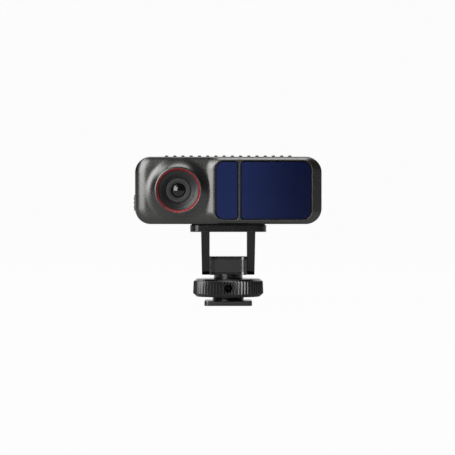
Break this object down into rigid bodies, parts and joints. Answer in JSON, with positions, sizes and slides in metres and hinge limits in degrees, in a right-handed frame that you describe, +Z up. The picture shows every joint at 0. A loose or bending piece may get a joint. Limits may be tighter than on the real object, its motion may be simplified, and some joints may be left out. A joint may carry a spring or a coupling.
{
  "type": "action camera",
  "caption": "Bar-shaped camera head with a round lens and dark infrared windows, on a tilting yoke with a knurled clamping wheel and an accessory-shoe foot.",
  "frame": {"origin": "centre of the shoe foot's bottom face", "axes": "+X to the right seen from the front, +Y towards the back, +Z up out of the shoe"},
  "size_m": [0.0733, 0.028, 0.0584],
  "materials": {
    "gunmetal_case": "satin, fine blasted",
    "black_metal": "satin, black anodised",
    "seal_rubber": "matte",
    "screw_steel": "satin",
    "red_metal": "satin, red anodised",
    "lens_black": "matte",
    "lens_grey": "matte",
    "lens_glass": "coated",
    "filter_glass": "coated",
    "window_glass": "gloss, infrared filter",
    "board_green": "solder mask",
    "chip_black": "moulded",
    "thermal_grey": "matte",
    "spreader_metal": "bare",
    "ribbon_amber": "film",
    "insert_brass": "knurled"
  },
  "bodies": {
    "base": {"pivot_block": "black_metal", "friction_washers": "lens_black", "foot_stud": "black_metal", "shoe_foot": "black_metal", "foot_screw": "screw_steel"},
    "head": {"front_shell": "gunmetal_case", "rear_shell": "gunmetal_case", "housing_seal": "seal_rubber", "housing_screws": "screw_steel", "lens_ring": "red_metal", "lens_bezel": "lens_black", "lens_barrel": "lens_grey", "lens_front_glass": "lens_glass", "lens_inner_glass": "lens_glass", "lens_holder": "lens_black", "infrared_filter": "filter_glass", "image_sensor": "chip_black", "sensor_board": "board_green", "sensor_screws": "screw_steel", "narrow_window": "window_glass", "wide_window": "window_glass", "narrow_window_gasket": "seal_rubber", "wide_window_gasket": "seal_rubber", "laser_emitter": "chip_black", "emitter_lens": "lens_glass", "receiver_barrel": "lens_black", "receiver_glass": "lens_glass", "range_sensor": "chip_black", "range_board": "board_green", "range_screws": "screw_steel", "board_spacers": "insert_brass", "board_connector": "chip_black", "main_board": "board_green", "board_screws": "screw_steel", "processor": "chip_black", "memory_chips": "chip_black", "thermal_pad": "thermal_grey", "heat_spreader": "spreader_metal", "sensor_ribbon": "ribbon_amber", "usb_socket": "screw_steel", "usb_tongue": "chip_black", "button_seal": "seal_rubber", "button_switch": "chip_black", "plate_pad": "seal_rubber", "tilt_yoke": "black_metal", "plate_screws": "screw_steel", "body_inserts": "insert_brass", "tilt_screw": "screw_steel", "tilt_nut": "screw_steel"},
    "washer": {"clamp_washer": "screw_steel"},
    "wheel": {"lock_wheel": "black_metal", "wheel_insert": "insert_brass"},
    "button": {"side_button": "gunmetal_case"}
  },
  "joints": [
    {"name": "head_tilt", "type": "hinge", "parent": "base", "child": "head", "pos_m": [0, 0, 0.0155], "axis": [1, 0, 0], "range_deg": [-75, 75]},
    {"name": "washer_lift", "type": "slide", "parent": "base", "child": "washer", "axis": [0, 0, 1], "range_m": [0, 0.000635]},
    {"name": "wheel_turn", "type": "hinge", "parent": "washer", "child": "wheel", "pos_m": [0, 0, 0.0069], "axis": [0, 0, 1], "range_deg": [0, 180]},
    {"name": "button_press", "type": "slide", "parent": "head", "child": "button", "axis": [1, 0, 0], "range_m": [0, 0.0004], "stiffness_N_per_m": 1500, "springref_m": -0.0005}
  ],
  "couplings": [
    {"joint": "wheel_turn", "follows": "washer_lift", "rad_per_m": 4947.4}
  ]
}
